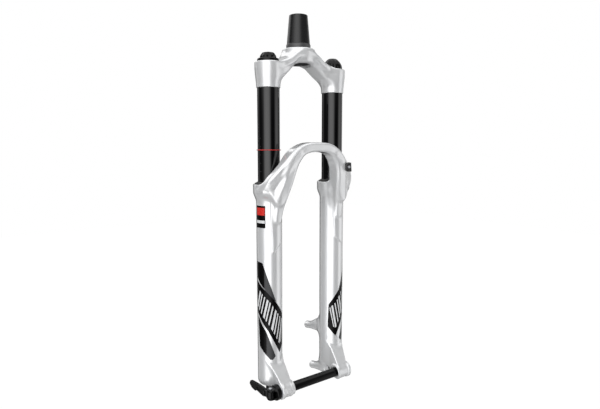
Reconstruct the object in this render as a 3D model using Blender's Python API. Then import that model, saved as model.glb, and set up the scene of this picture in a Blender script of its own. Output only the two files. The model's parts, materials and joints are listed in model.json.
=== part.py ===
"""Air-sprung bicycle suspension fork with a tapered steerer, 35 mm stanchions, 140 mm of travel and a 15 mm axle.

Frame: the origin is the centre of the crown's top face, where the headset's lower race sits. +Z runs up the
steerer, -Y is the front of the bicycle and +X is the rider's left, where the disc brake is. The damper and the
axle lever are at -X, and the air spring is at +X. Every number below is in millimetres. Heights in the numbers
are from a plane 5 mm above the race seat, and main() moves the finished pieces up so that the seat is at 0.
"""

import math

import bmesh
import bpy
from mathutils import Matrix, Vector

MM = 0.001
GAP = 0.3                     # clearance between touching or sliding pieces

# Driving dimensions
TRAVEL = 140.0
AXLE_TO_CROWN = 546.0
SEAT_Z = -5.0                 # the crown's top face, before the pieces are moved up
FORK_OFFSET = 42.0            # axle ahead of the steerer axis
LEG_SPACING = 130.0           # between the two stanchion axes
LEG_Y = -9.2                  # stanchions ahead of the steerer axis
HUB_WIDTH = 100.0             # between the faces that the hub's ends sit on
STANCHION_R = 17.5
AXLE_R = 7.5

DAMPER_X, AIR_X = -LEG_SPACING / 2, LEG_SPACING / 2
LEG_XS = {"damper": DAMPER_X, "air": AIR_X}

# Crown and steerer
CROWN_R = 27.0
CROWN_FLOOR_Z = -28.0
BOSS_TOP_Z, BOSS_BOTTOM_Z = -32.0, -71.8
STEERER_TOP_Z = 48.9
RACE_SEAT_R, RACE_SEAT_H = 19.9, 7.0
STEERER_FOOT_R = 19.0

# Stanchions and what they hold
STANCHION_TOP_Z, STANCHION_BOTTOM_Z = -36.0, -380.0
STANCHION_BORE_R = 15.5
CAP_FLANGE_Z = -27.0
SHAFT_R = 5.0
ROD_R = 2.0
SPIGOT_R = 4.0
CARTRIDGE_R, CARTRIDGE_BORE_R = 12.5, 11.0
SEAL_HEAD_TOP_Z, SEAL_HEAD_BOTTOM_Z = -366.0, -377.5
DAMPER_PISTON_Z = -355.0
AIR_PISTON_Z = -350.0

# Lower legs
RIM_Z = -220.8
RIM_R, LEG_R, LEG_BORE_R = 25.3, 20.7, 18.9
SEAL_SEAT_R, SEAL_SEAT_Z = 21.3, -238.0
CROWN_CLEAR_R = 23.4          # room for the crown's boss inside the arch's feet at full travel
LEG_FLOOR_Z, LEG_BOTTOM_Z = -538.0, -550.0
FOOT_HOLE_R = 4.2
ARCH_DEPTH = 24.0

# Axle
AXLE_Y, AXLE_Z = -FORK_OFFSET, SEAT_Z - AXLE_TO_CROWN
DROPOUT_R, DROPOUT_LIP_X = 13.0, 46.0
HUB_SEAT_R = 10.4
DAMPER_DROPOUT_X = -69.4      # outer face on the lever side
AIR_DROPOUT_X = 74.0
LEVER_PIN_X = -86.5
HUB_R = 12.2

# Disc brake posts
POST_X = 55.0
POST_SPACING = 74.2
POST_TILT = math.radians(-11.9)   # posts point to the rear and a little down
POST_TIP = Vector((POST_X, 39.3, -528.4))   # midway between the two tips
POST_R = 6.6

HOSE_BOLT_X, HOSE_BOLT_Z = 56.6, -195.0
HOSE_GUIDE_BACK_Y = -55.6
RING_Z = -167.3
RING_R = 0.8

PAINT = ("white_paint", (0.86, 0.87, 0.88), 0.22, 0.0)
BLACK_ANODISED = ("black_anodised", (0.015, 0.015, 0.017), 0.25, 0.9)
BLACK_STEERER = ("black_steerer", (0.05, 0.05, 0.052), 0.45, 0.8)
BLACK_PLASTIC = ("black_plastic", (0.02, 0.02, 0.02), 0.4, 0.0)
ALLOY = ("bare_alloy", (0.72, 0.73, 0.75), 0.35, 1.0)
STEEL = ("steel", (0.55, 0.56, 0.58), 0.3, 1.0)
RUBBER = ("black_rubber", (0.02, 0.02, 0.02), 0.8, 0.0)
RED_RUBBER = ("red_rubber", (0.62, 0.05, 0.05), 0.6, 0.0)
FOAM = ("foam", (0.18, 0.17, 0.15), 0.95, 0.0)
BUSH = ("bush_ptfe", (0.30, 0.31, 0.28), 0.5, 0.5)
TOKEN = ("token_plastic", (0.75, 0.10, 0.06), 0.5, 0.0)


def clear_scene():
    for obj in list(bpy.data.objects):
        bpy.data.objects.remove(obj)


def material(finish):
    """The Principled material of one finish, made once."""
    name, colour, roughness, metallic = finish
    found = bpy.data.materials.get(name)
    if found:
        return found
    made = bpy.data.materials.new(name)
    made.use_nodes = True
    shader = made.node_tree.nodes["Principled BSDF"]
    shader.inputs["Base Color"].default_value = (*colour, 1.0)
    shader.inputs["Roughness"].default_value = roughness
    shader.inputs["Metallic"].default_value = metallic
    made.diffuse_color = (*colour, 1.0)
    return made


def add_object(name, bm, finish=PAINT, at=(0, 0, 0), axis="Z"):
    """One object from a bmesh in millimetres, with its own Z axis laid along the axis given."""
    bmesh.ops.recalc_face_normals(bm, faces=bm.faces)
    bmesh.ops.scale(bm, vec=(MM, MM, MM), verts=bm.verts)
    mesh = bpy.data.meshes.new(name)
    bm.to_mesh(mesh)
    bm.free()
    mesh.shade_smooth()
    mesh.set_sharp_from_angle(angle=math.radians(35))
    obj = bpy.data.objects.new(name, mesh)
    mesh.materials.append(material(finish))
    obj.location = Vector(at) * MM
    obj.rotation_euler = {"Z": (0, 0, 0), "X": (0, math.pi / 2, 0), "-Y": (math.pi / 2, 0, 0)}[axis]
    bpy.context.scene.collection.objects.link(obj)
    bpy.context.view_layer.update()
    return obj


def turned(name, outline, finish=PAINT, at=(0, 0, 0), axis="Z", segments=20):
    """A solid of revolution. The outline is a closed loop of (radius, height) points."""
    bm = bmesh.new()
    rings = []
    for radius, height in outline:
        if radius < 1e-6:
            rings.append([bm.verts.new((0, 0, height))] * segments)
            continue
        angles = [2 * math.pi * i / segments for i in range(segments)]
        rings.append([bm.verts.new((radius * math.cos(a), radius * math.sin(a), height)) for a in angles])
    for ring, following in zip(rings, rings[1:] + rings[:1]):
        for i in range(segments):
            j = (i + 1) % segments
            corners = dict.fromkeys((ring[i], ring[j], following[j], following[i]))
            if len(corners) > 2:
                bm.faces.new(corners)
    return add_object(name, bm, finish, at, axis)


def sleeve(inner, outer, low, high):
    """The outline of a plain tube."""
    return [(inner, low), (outer, low), (outer, high), (inner, high)]


def rod(radius, low, high):
    """The outline of a plain cylinder."""
    return [(0, low), (radius, low), (radius, high), (0, high)]


def lofted(name, sections, finish=PAINT):
    """A closed solid through equal rings of points."""
    bm = bmesh.new()
    rings = [[bm.verts.new(point) for point in section] for section in sections]
    count = len(rings[0])
    for ring, following in zip(rings, rings[1:]):
        for i in range(count):
            j = (i + 1) % count
            bm.faces.new((ring[i], ring[j], following[j], following[i]))
    bm.faces.new(rings[0])
    bm.faces.new(rings[-1])
    return add_object(name, bm, finish)


def prism(name, points, start, end, axis="X", finish=PAINT, bevel=0.0):
    """A flat outline extruded along X (points are Y, Z) or Z (points are X, Y)."""
    place = {"X": lambda p, t: (t, p[0], p[1]), "Z": lambda p, t: (p[0], p[1], t)}[axis]
    bm = bmesh.new()
    low = [bm.verts.new(place(p, start)) for p in points]
    high = [bm.verts.new(place(p, end)) for p in points]
    bm.faces.new(low)
    bm.faces.new(high)
    for i in range(len(points)):
        j = (i + 1) % len(points)
        bm.faces.new((low[i], low[j], high[j], high[i]))
    if bevel:
        bmesh.ops.bevel(bm, geom=bm.edges[:], offset=bevel, segments=2, affect="EDGES", profile=0.5)
    return add_object(name, bm, finish)


def tidy_joins(mesh):
    """Merges the near-identical points that a Boolean can leave along a seam."""
    bm = bmesh.new()
    bm.from_mesh(mesh)
    bmesh.ops.remove_doubles(bm, verts=bm.verts, dist=0.005 * MM)
    bmesh.ops.dissolve_degenerate(bm, edges=bm.edges, dist=0.005 * MM)
    bm.to_mesh(mesh)
    bm.free()


def combine(obj, others, operation):
    """Applies a Boolean with each of the other objects, and removes them."""
    for other in others:
        modifier = obj.modifiers.new("cut", "BOOLEAN")
        modifier.operation = operation
        modifier.solver = "EXACT"
        modifier.object = other
        with bpy.context.temp_override(object=obj, active_object=obj):
            bpy.ops.object.modifier_apply(modifier=modifier.name)
        bpy.data.objects.remove(other)
        tidy_joins(obj.data)
    bpy.context.view_layer.update()
    return obj


def smooth_path(points, steps):
    """Points along a Catmull-Rom curve through the given vectors."""
    knots = [2 * points[0] - points[1], *points, 2 * points[-1] - points[-2]]
    path = []
    for a, b, c, d in zip(knots, knots[1:], knots[2:], knots[3:]):
        for i in range(steps):
            t = i / steps
            path.append(0.5 * (2 * b + (c - a) * t + (2 * a - 5 * b + 4 * c - d) * t * t
                               + (3 * b - 3 * c + d - a) * t ** 3))
    return path + [points[-1]]


def arch_sections(half, steps, corner=0.62):
    """Rounded sections across a left-right symmetric arch. Each half point is (x, y, z, thickness, depth)."""
    whole = [(-x, *rest) for x, *rest in reversed(half[1:])] + half
    path = smooth_path([Vector(p) for p in whole], steps)
    sections = []
    for i, p in enumerate(path):
        before, after = path[max(i - 1, 0)], path[min(i + 1, len(path) - 1)]
        along = Vector((after[0] - before[0], 0, after[2] - before[2])).normalized()
        out = Vector((-along.z, 0, along.x))
        centre, thick, deep = Vector(p[:3]), p[3] / 2, p[4] / 2
        corners = [(1, corner), (corner, 1), (-corner, 1), (-1, corner),
                   (-1, -corner), (-corner, -1), (corner, -1), (1, -corner)]
        sections.append([centre + out * thick * a + Vector((0, deep * b, 0)) for a, b in corners])
    return sections


# ---------------------------------------------------------------- crown, steerer and stanchions

def make_steerer():
    """Tapered tube with the crown-race seat at its foot, open at both ends."""
    seat_foot, seat_top = SEAT_Z - 1.2, SEAT_Z + RACE_SEAT_H + GAP
    turned("steerer_tube", [
        (STEERER_FOOT_R, CROWN_FLOOR_Z), (STEERER_FOOT_R, seat_foot), (RACE_SEAT_R, seat_foot), (RACE_SEAT_R, seat_top),
        (STEERER_FOOT_R, seat_top + 0.6), (15.0, STEERER_TOP_Z), (12.6, STEERER_TOP_Z),
        (16.0, seat_top), (16.0, CROWN_FLOOR_Z)], BLACK_STEERER, segments=32)


def make_crown():
    """Forged crown: a central collar, two arms and a boss round each stanchion."""
    crown = turned("crown", [(0, CROWN_FLOOR_Z), (CROWN_R - 1, CROWN_FLOOR_Z), (CROWN_R, SEAT_Z - 4),
                             (CROWN_R - 1.5, SEAT_Z), (0, SEAT_Z)], segments=32)
    half = [(0, -3, -17, 22, 44), (18, -4, -21, 23, 42), (33, -6, -32, 21, 39), (46, -8, -42.5, 21, 37),
            (60, LEG_Y, -50, 24, 36)]
    arms = lofted("arms", arch_sections([Vector(p) for p in half], 3))
    bosses = [turned("boss", [(0, BOSS_BOTTOM_Z), (18.6, BOSS_BOTTOM_Z), (21.2, -40), (20.3, BOSS_TOP_Z), (0, BOSS_TOP_Z)],
                     at=(x, LEG_Y, 0), segments=32) for x in LEG_XS.values()]
    cut_above = prism("above", [(-60, -60), (60, -60), (60, 60), (-60, 60)], SEAT_Z, 40, "Z")
    cap_rooms = [turned("room", rod(20.2, BOSS_TOP_Z, 10), at=(x, LEG_Y, 0)) for x in LEG_XS.values()]
    bores = [turned("bore", rod(STANCHION_R + GAP, -90, 10), at=(x, LEG_Y, 0), segments=32) for x in LEG_XS.values()]
    relief_z = SEAT_Z - 1.5
    steerer_bore = turned("bore", [(0, -90), (STEERER_FOOT_R + GAP, -90), (STEERER_FOOT_R + GAP, relief_z),
                                   (RACE_SEAT_R + GAP, relief_z), (RACE_SEAT_R + GAP, 10), (0, 10)], segments=32)
    combine(crown, [arms, *bosses], "UNION")
    combine(crown, [cut_above, *cap_rooms, *bores, steerer_bore], "DIFFERENCE")


def make_stanchions():
    for side, x in LEG_XS.items():
        turned(f"{side}_stanchion", sleeve(STANCHION_BORE_R, STANCHION_R, STANCHION_BOTTOM_Z, STANCHION_TOP_Z),
               BLACK_ANODISED, at=(x, LEG_Y, 0), segments=32)
        turned(f"{side}_retaining_ring", sleeve(13.4, STANCHION_BORE_R - GAP, -379.6, -378.2), STEEL,
               at=(x, LEG_Y, 0), segments=20)


# ---------------------------------------------------------------- damper leg

def make_damper():
    here = (DAMPER_X, LEG_Y, 0)
    plug_r = STANCHION_BORE_R - GAP
    piston_r = CARTRIDGE_BORE_R - GAP
    turned("damper_top_cap", [
        (SPIGOT_R + GAP, -58), (9, -58), (9, -50), (plug_r, -50), (plug_r, STANCHION_TOP_Z + GAP),
        (17.1, STANCHION_TOP_Z + GAP), (17.1, -28.6), (15.6, CAP_FLANGE_Z), (SPIGOT_R + GAP, CAP_FLANGE_Z)],
        BLACK_ANODISED, here)
    turned("compression_knob", [
        (ROD_R + GAP, -64), (SPIGOT_R, -64), (SPIGOT_R, -26.7), (12.8, -26.7), (12.4, -23.6), (9.2, -18.6),
        (5.8, -18.2), (5.8, -24.3), (ROD_R + GAP, -24.3)], BLACK_ANODISED, here)
    turned("low_speed_dial", [(0, -78), (ROD_R, -78), (ROD_R, -24), (5.5, -24), (5.5, -18.2), (4.6, -17.4), (0, -17.4)],
           BLACK_ANODISED, here, segments=20)
    turned("damper_cartridge", sleeve(CARTRIDGE_BORE_R, CARTRIDGE_R, SEAL_HEAD_TOP_Z + GAP, -60), ALLOY, here)
    turned("damper_bladder", [(8, -104), (9.6, -104), (9.6, -68), (5, -65), (5, -66.8), (8, -69.2)],
           RUBBER, here, segments=20)
    turned("compression_valve", [(0, -118), (piston_r, -118), (piston_r, -108), (3.5, -108), (3.5, -80), (0, -80)],
           ALLOY, here, segments=20)
    turned("damper_seal_head", [
        (SHAFT_R + GAP, SEAL_HEAD_BOTTOM_Z), (plug_r, SEAL_HEAD_BOTTOM_Z), (plug_r, SEAL_HEAD_TOP_Z),
        (piston_r, SEAL_HEAD_TOP_Z), (piston_r, -358), (SHAFT_R + GAP, -358)], BLACK_ANODISED, here, segments=20)
    turned("rebound_piston", sleeve(SPIGOT_R + GAP, piston_r, DAMPER_PISTON_Z, DAMPER_PISTON_Z + 10),
           ALLOY, here, segments=20)
    turned("rebound_shaft", shaft_outline(DAMPER_PISTON_Z, ROD_R + GAP), STEEL, here, segments=20)
    turned("rebound_rod", rod(ROD_R, -564, DAMPER_PISTON_Z), ALLOY, here, segments=16)
    turned("rebound_knob", [(ROD_R + GAP, -571), (6.6, -571), (7.6, -569), (7.6, -560.6), (ROD_R + GAP, -560.6)],
           BLACK_ANODISED, here, segments=20)


def shaft_outline(piston_z, bore):
    """A shaft with a spigot for its piston and a wide foot that takes the foot bolt."""
    foot_z = LEG_FLOOR_Z + GAP
    return [(FOOT_HOLE_R, foot_z), (6.5, foot_z), (6.5, -524), (SHAFT_R, -524), (SHAFT_R, piston_z - GAP),
            (SPIGOT_R, piston_z - GAP), (SPIGOT_R, piston_z + 12), (bore, piston_z + 12), (bore, -526),
            (FOOT_HOLE_R, -526)]


def make_foot_bolts():
    """The hollow bolt that holds the rebound shaft and the solid one that holds the air shaft."""
    for side, x in LEG_XS.items():
        bore = ROD_R + GAP if side == "damper" else 1.5
        shank = FOOT_HOLE_R - GAP
        turned(f"{side}_crush_washer", sleeve(shank + GAP, 7.4, LEG_BOTTOM_Z - 1.3, LEG_BOTTOM_Z - GAP), ALLOY,
               (x, LEG_Y, 0), segments=20)
        turned(f"{side}_foot_bolt", [
            (bore, -560), (6.6, -560), (7.2, -559.4), (7.2, LEG_BOTTOM_Z - 1.6), (shank, LEG_BOTTOM_Z - 1.6),
            (shank, -527), (bore, -527)], BLACK_ANODISED, (x, LEG_Y, 0), segments=20)


# ---------------------------------------------------------------- air spring leg

def make_air_spring():
    here = (AIR_X, LEG_Y, 0)
    plug_r = STANCHION_BORE_R - GAP
    turned("air_top_cap", [
        (4.4, -62), (8, -62), (8, -50), (plug_r, -50), (plug_r, STANCHION_TOP_Z + GAP), (16.8, STANCHION_TOP_Z + GAP),
        (16.8, -32.6), (13.4, -32.6), (13.4, -28.6), (6.2, -28.6), (6.2, -21), (4.4, -21)], BLACK_ANODISED, here)
    turned("schrader_valve", [(0, -60), (3.9, -60), (3.9, -20.6), (2.6, -18.5), (1.2, -18.5), (1.2, -23), (0, -23)],
           STEEL, here, segments=16)
    turned("air_valve_cap", [
        (13.9, -32.2), (16.4, -32.2), (16.4, -27), (15.2, -24), (8.4, -15.2), (6.6, -14), (0, -14), (0, -16),
        (6.6, -16.6), (13.9, -26)], BLACK_ANODISED, here)
    turned("volume_token", [(2.5, -76), (13.2, -76), (13.2, -54), (8.3, -54), (8.3, -64.4), (2.5, -64.4)],
           TOKEN, here, segments=20)
    turned("air_seal_head", sleeve(SHAFT_R + GAP, plug_r, SEAL_HEAD_BOTTOM_Z, SEAL_HEAD_TOP_Z), BLACK_PLASTIC, here,
           segments=24)
    turned("top_out_bumper", sleeve(SHAFT_R + GAP, 9.5, SEAL_HEAD_TOP_Z + GAP, -357), RUBBER, here, segments=20)
    turned("air_piston", sleeve(SPIGOT_R + GAP, plug_r, AIR_PISTON_Z, AIR_PISTON_Z + 10), BLACK_PLASTIC, here,
           segments=24)
    turned("air_shaft", shaft_outline(AIR_PISTON_Z, 2.5), ALLOY, here, segments=20)
    turned("bottom_out_bumper", sleeve(6.5 + GAP, 12, LEG_FLOOR_Z + GAP, -528), RUBBER, here, segments=20)


# ---------------------------------------------------------------- lower legs

def leg_outline():
    """The outside of one lower leg: the seal housing's rim, a shoulder and a plain tube with a rounded foot."""
    return [(0, LEG_BOTTOM_Z), (14.5, LEG_BOTTOM_Z), (19, LEG_BOTTOM_Z + 4), (LEG_R, LEG_BOTTOM_Z + 10),
            (LEG_R, -247), (RIM_R, -234), (RIM_R, RIM_Z), (0, RIM_Z)]


def foot_shell(x):
    """The part of the arch's foot that wraps round the front of a stanchion, sloping down to the rim behind."""
    shell = turned("foot", rod(RIM_R + 0.6, -232, -182), at=(x, LEG_Y, 0), segments=32)
    slope = prism("slope", [(0, RIM_Z - 2.5), (-36, RIM_Z + 17), (-36, 0), (60, 0), (60, RIM_Z - 2.5)], x - 50, x + 50)
    return combine(shell, [slope], "DIFFERENCE")


def dropout(side, inner_x, outer_x):
    """The boss round the axle and the web that joins it to the leg."""
    low, high = sorted((inner_x, outer_x))
    boss = turned("boss", rod(DROPOUT_R, low, high), at=(0, AXLE_Y, AXLE_Z), axis="X")
    web = prism("web", [(-14, -480), (-27, -500), (-51.5, -541), (-54.5, -549), (-46, -563), (-36, -562), (-14, -545)],
                low + 2, high - 2)
    return [boss, web]


def brake_posts():
    """Two posts for a post-mount caliper, side by side on the rear of the air leg."""
    along = Vector((0, math.cos(POST_TILT), math.sin(POST_TILT)))
    across = Vector((0, -along.z, along.y))
    posts = []
    for sign, root_back, rise in ((1, 36, 9), (-1, 34, 6)):
        tip = POST_TIP + across * sign * POST_SPACING / 2
        sections = []
        for back, half_high, lift in ((0, POST_R, 0), (10, POST_R + 0.6, 0.6), (24, POST_R + 4, rise / 2),
                                      (root_back, POST_R + 8, rise)):
            centre = tip - along * back + across * lift * 0.3
            corners = [(1, 0.5), (0.5, 1), (-0.5, 1), (-1, 0.5), (-1, -0.5), (-0.5, -1), (0.5, -1), (1, -0.5)]
            sections.append([centre + Vector((POST_R * a, 0, 0)) + across * half_high * b for a, b in corners])
        posts.append(lofted("post", sections))
    return posts


def post_holes():
    """Blind holes for the caliper bolts, opening on the posts' tips."""
    along = Vector((0, math.cos(POST_TILT), math.sin(POST_TILT)))
    across = Vector((0, -along.z, along.y))
    holes = []
    for sign in (1, -1):
        tip = POST_TIP + across * sign * POST_SPACING / 2
        hole = turned("hole", rod(2.7, -16, 5), segments=16)
        turn = Vector((0, 0, 1)).rotation_difference(along).to_matrix().to_4x4()
        hole.matrix_world = Matrix.Translation(tip * MM) @ turn
        holes.append(hole)
    return holes


def hub_seats():
    """The space for a hub's two ends, open downwards so that the wheel drops out."""
    outline = [(HUB_SEAT_R * math.cos(a), HUB_SEAT_R * math.sin(a)) for a in (math.pi * i / 12 for i in range(13))]
    outline = [(AXLE_Y + y, AXLE_Z + z) for y, z in outline] + [(AXLE_Y - HUB_SEAT_R, AXLE_Z - 30),
                                                               (AXLE_Y + HUB_SEAT_R, AXLE_Z - 30)]
    return prism("hub_seats", outline, -HUB_WIDTH / 2, HUB_WIDTH / 2)


def make_lower_legs():
    """One casting: two legs, the arch, the dropouts and the brake posts, bored for seals, bushings and axle."""
    legs = [turned("leg", leg_outline(), at=(x, LEG_Y, 0), segments=32) for x in LEG_XS.values()]
    half = [(0, -45, -163, 15, ARCH_DEPTH), (20, -45, -164.5, 16, ARCH_DEPTH), (36, -44.5, -171.5, 18, 25),
            (46, -43, -184, 21, 26), (53, -40, -201, 25, 26), (58, -35, -222, 27, 28), (61, -30, -243, 23, 24),
            (62, -26, -266, 14, 14), (63, -25, -325, 5, 9)]
    arch = lofted("arch", arch_sections([Vector(p) for p in half], 2, corner=0.6))
    feet = [foot_shell(x) for x in LEG_XS.values()]
    dropouts = dropout("damper", -DROPOUT_LIP_X, DAMPER_DROPOUT_X) + dropout("air", DROPOUT_LIP_X, AIR_DROPOUT_X)
    casting = legs[0]
    casting.name = "lower_legs"
    combine(casting, [arch, legs[1], *feet, *dropouts, *brake_posts()], "UNION")
    cuts = post_holes()
    for x in LEG_XS.values():
        here = (x, LEG_Y, 0)
        cuts.append(turned("bore", [
            (0, LEG_FLOOR_Z), (LEG_BORE_R, LEG_FLOOR_Z), (LEG_BORE_R, SEAL_SEAT_Z), (SEAL_SEAT_R, SEAL_SEAT_Z),
            (SEAL_SEAT_R, RIM_Z), (CROWN_CLEAR_R, RIM_Z), (CROWN_CLEAR_R, -120), (0, -120)], at=here, segments=32))
        cuts.append(turned("foot_hole", rod(FOOT_HOLE_R, -580, LEG_FLOOR_Z + 5), at=here, segments=20))
    cuts.append(turned("axle_bore", rod(AXLE_R + GAP, -100, 100), at=(0, AXLE_Y, AXLE_Z), axis="X"))
    cuts.append(hub_seats())
    combine(casting, cuts, "DIFFERENCE")


def make_leg_seals():
    """Wiper, foam ring and two bushings in each leg."""
    bush_r = LEG_BORE_R - GAP
    slide_r = STANCHION_R + GAP
    for side, x in LEG_XS.items():
        here = (x, LEG_Y, 0)
        turned(f"{side}_wiper_seal", [
            (slide_r, -229), (SEAL_SEAT_R - GAP, -229), (SEAL_SEAT_R - GAP, RIM_Z + GAP), (22.8, RIM_Z + GAP),
            (22.4, -218.9), (19.6, -218.6), (18.7, -216.8), (slide_r, -216.8)], RUBBER, here, segments=32)
        turned(f"{side}_foam_ring", sleeve(slide_r, SEAL_SEAT_R - GAP, -237, -229.6), FOAM, here, segments=32)
        for place, low in (("upper", -262), ("lower", -372)):
            turned(f"{side}_{place}_bushing", sleeve(slide_r, bush_r, low, low + 20), BUSH, here, segments=32)


def make_travel_ring():
    """The sag ring on the damper stanchion."""
    centre_r = STANCHION_R + 0.2 + RING_R
    circle = [(centre_r + RING_R * math.cos(a), RING_Z + RING_R * math.sin(a))
              for a in (math.pi / 3 * i for i in range(6))]
    turned("travel_ring", circle, RED_RUBBER, (DAMPER_X, LEG_Y, 0), segments=32)


def make_hose_guide():
    """Plastic guide on the front of the air leg's arch foot, and the small bolt that holds it."""
    back, front = HOSE_GUIDE_BACK_Y, HOSE_GUIDE_BACK_Y - 6.6
    guide = prism("hose_guide", [(54, back), (54, front + 1.2), (55.2, front), (62.5, front), (64.5, front + 2), (64.5, back)],
                  -203, -187, "Z", BLACK_PLASTIC)
    hose_way = turned("way", rod(2.5, -230, -170), at=(61.3, back - 3.3, 0), segments=16)
    bolt_hole = turned("way", rod(1.8, 20, 100), at=(HOSE_BOLT_X, 0, HOSE_BOLT_Z), axis="-Y", segments=16)
    combine(guide, [hose_way, bolt_hole], "DIFFERENCE")
    head = -front + GAP
    turned("hose_guide_bolt", [(0, -back + 0.2), (1.5, -back + 0.2), (1.5, head), (2.4, head), (2.1, head + 1.6), (0, head + 1.6)],
           STEEL, (HOSE_BOLT_X, 0, HOSE_BOLT_Z), "-Y", segments=16)


# ---------------------------------------------------------------- axle and lever

def make_axle():
    here = (0, AXLE_Y, AXLE_Z)
    washer_x = DAMPER_DROPOUT_X - GAP
    hub_x = washer_x - 2.2 - GAP
    turned("axle_washer", sleeve(AXLE_R + GAP, 11.6, washer_x - 2.2, washer_x), STEEL, here, "X")
    axle = turned("axle_tube", [
        (5.2, hub_x), (HUB_R - 1.2, hub_x - 6.8), (HUB_R, hub_x - 5.4), (HUB_R, hub_x), (AXLE_R, hub_x),
        (AXLE_R, 71), (6.8, 72), (5.2, 72)], BLACK_ANODISED, here, "X")
    cheeks = []
    for sign in (1, -1):
        outline = [(LEVER_PIN_X - 5, AXLE_Y - 5.5), (hub_x - 3, AXLE_Y - 6.5), (hub_x - 3, AXLE_Y + 6.5),
                   (LEVER_PIN_X - 5, AXLE_Y + 5.5)]
        near, far = AXLE_Z + sign * 5.6, AXLE_Z + sign * 9.4
        cheeks.append(prism("cheek", outline, min(near, far), max(near, far), "Z"))
    combine(axle, cheeks, "UNION")
    pin_hole = turned("hole", rod(2.5 + GAP, -20, 20), at=(LEVER_PIN_X, AXLE_Y, AXLE_Z), segments=20)
    combine(axle, [pin_hole], "DIFFERENCE")
    turned("lever_pin", rod(2.5, -9.8, 9.8), STEEL, (LEVER_PIN_X, AXLE_Y, AXLE_Z), segments=20)
    make_lever()
    turned("draw_rod", rod(2.2, -75.5, 60), STEEL, here, "X", segments=16)
    turned("axle_wedge", [(0, 60.3), (3.2, 60.3), (4.8, 74), (0, 74)], STEEL, here, "X", segments=20)


def make_lever():
    """Cam lever: an eye round the pin and a blade that lies along the leg's outside, pointing to the rear."""
    blade_x = LEVER_PIN_X - 3.2
    stations = [(-2.5, -3.0, 4.9, 2.4), (8.5, -3.6, 4.9, 2.4), (13, -3.8, 7.6, 2.3), (24, -3.4, 6.2, 2.2),
                (38, -3.0, 5.4, 2.1), (48, -3.2, 7.2, 2.0), (54, -3.8, 6.6, 1.8), (57, -4.2, 4.0, 1.4)]
    sections = []
    for back, side, half_high, half_thick in stations:
        centre = Vector((LEVER_PIN_X + side, AXLE_Y + back, AXLE_Z))
        corners = [(1, 0.6), (0.5, 1), (-0.5, 1), (-1, 0.6), (-1, -0.6), (-0.5, -1), (0.5, -1), (1, -0.6)]
        sections.append([centre + Vector((half_thick * a, 0, half_high * b)) for a, b in corners])
    lever = lofted("axle_lever", sections, BLACK_ANODISED)
    eye = turned("eye", rod(5.4, -5.2, 5.2), at=(LEVER_PIN_X, AXLE_Y, AXLE_Z), segments=20)
    combine(lever, [eye], "UNION")
    hole = turned("hole", rod(2.5 + GAP, -20, 20), at=(LEVER_PIN_X, AXLE_Y, AXLE_Z), segments=20)
    combine(lever, [hole], "DIFFERENCE")


def main():
    clear_scene()
    make_steerer()
    make_crown()
    make_stanchions()
    make_damper()
    make_air_spring()
    make_lower_legs()
    make_leg_seals()
    make_foot_bolts()
    make_travel_ring()
    make_hose_guide()
    make_axle()
    for piece in bpy.data.objects:
        piece.location.z -= SEAT_Z * MM


main()
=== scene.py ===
"""The suspension fork's looks: cast and forged white pieces, knobs, decals, finishes, studio light and camera.

Lengths are in millimetres until a mesh is made, and heights are from DATUM_Z. The casting and the crown are distance
fields, which give them the fillets of cast metal, turned into meshes by surface nets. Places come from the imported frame.
"""

import json
import math

import bmesh
import bpy
import numpy as np
from mathutils import Matrix, Vector


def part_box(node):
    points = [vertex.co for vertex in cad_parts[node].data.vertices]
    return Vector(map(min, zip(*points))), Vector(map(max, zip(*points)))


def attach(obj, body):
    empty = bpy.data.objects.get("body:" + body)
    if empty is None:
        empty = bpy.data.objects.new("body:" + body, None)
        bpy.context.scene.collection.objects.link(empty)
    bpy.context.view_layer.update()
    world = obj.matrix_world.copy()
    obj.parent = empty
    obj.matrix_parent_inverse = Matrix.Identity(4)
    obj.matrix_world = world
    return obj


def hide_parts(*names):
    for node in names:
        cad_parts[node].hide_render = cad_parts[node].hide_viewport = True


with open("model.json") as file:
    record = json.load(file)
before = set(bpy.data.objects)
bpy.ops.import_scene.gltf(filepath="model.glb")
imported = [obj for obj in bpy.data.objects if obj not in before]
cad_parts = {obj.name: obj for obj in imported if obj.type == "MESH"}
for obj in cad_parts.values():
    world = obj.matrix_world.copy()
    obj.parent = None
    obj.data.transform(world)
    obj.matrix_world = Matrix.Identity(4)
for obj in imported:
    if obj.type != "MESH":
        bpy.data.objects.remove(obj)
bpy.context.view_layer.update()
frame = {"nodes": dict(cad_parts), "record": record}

MM = 0.001
DATUM_Z = 5.0                       # this script's heights start 5 mm above the crown's race seat
DATUM = np.array((0, 0, DATUM_Z))


def node_box(node):
    """Lowest and highest corner of a CAD node, in millimetres."""
    return [np.array(corner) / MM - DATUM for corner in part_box(node)]


def centre(node):
    low, high = node_box(node)
    return (low + high) / 2


# Places that the frame gives
LEG_X, LEG_Y = centre("air_stanchion")[0], centre("air_stanchion")[1]
AXLE_Y, AXLE_Z = centre("axle_washer")[1], centre("axle_washer")[2]
LEGS_LOW, LEGS_HIGH = node_box("lower_legs")
CROWN_LOW, CROWN_HIGH = node_box("crown")
LEG_BOTTOM_Z = node_box("air_crush_washer")[1][2] + 0.3
LEG_FLOOR_Z = node_box("bottom_out_bumper")[0][2] - 0.3
SEAL_SEAT_Z = node_box("air_foam_ring")[0][2] - 1.0
RIM_Z = SEAL_SEAT_Z + 17.2
BOSS_TOP_Z = node_box("air_stanchion")[1][2] + 4.0
LEFT, RIGHT = -LEG_X, LEG_X

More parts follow.
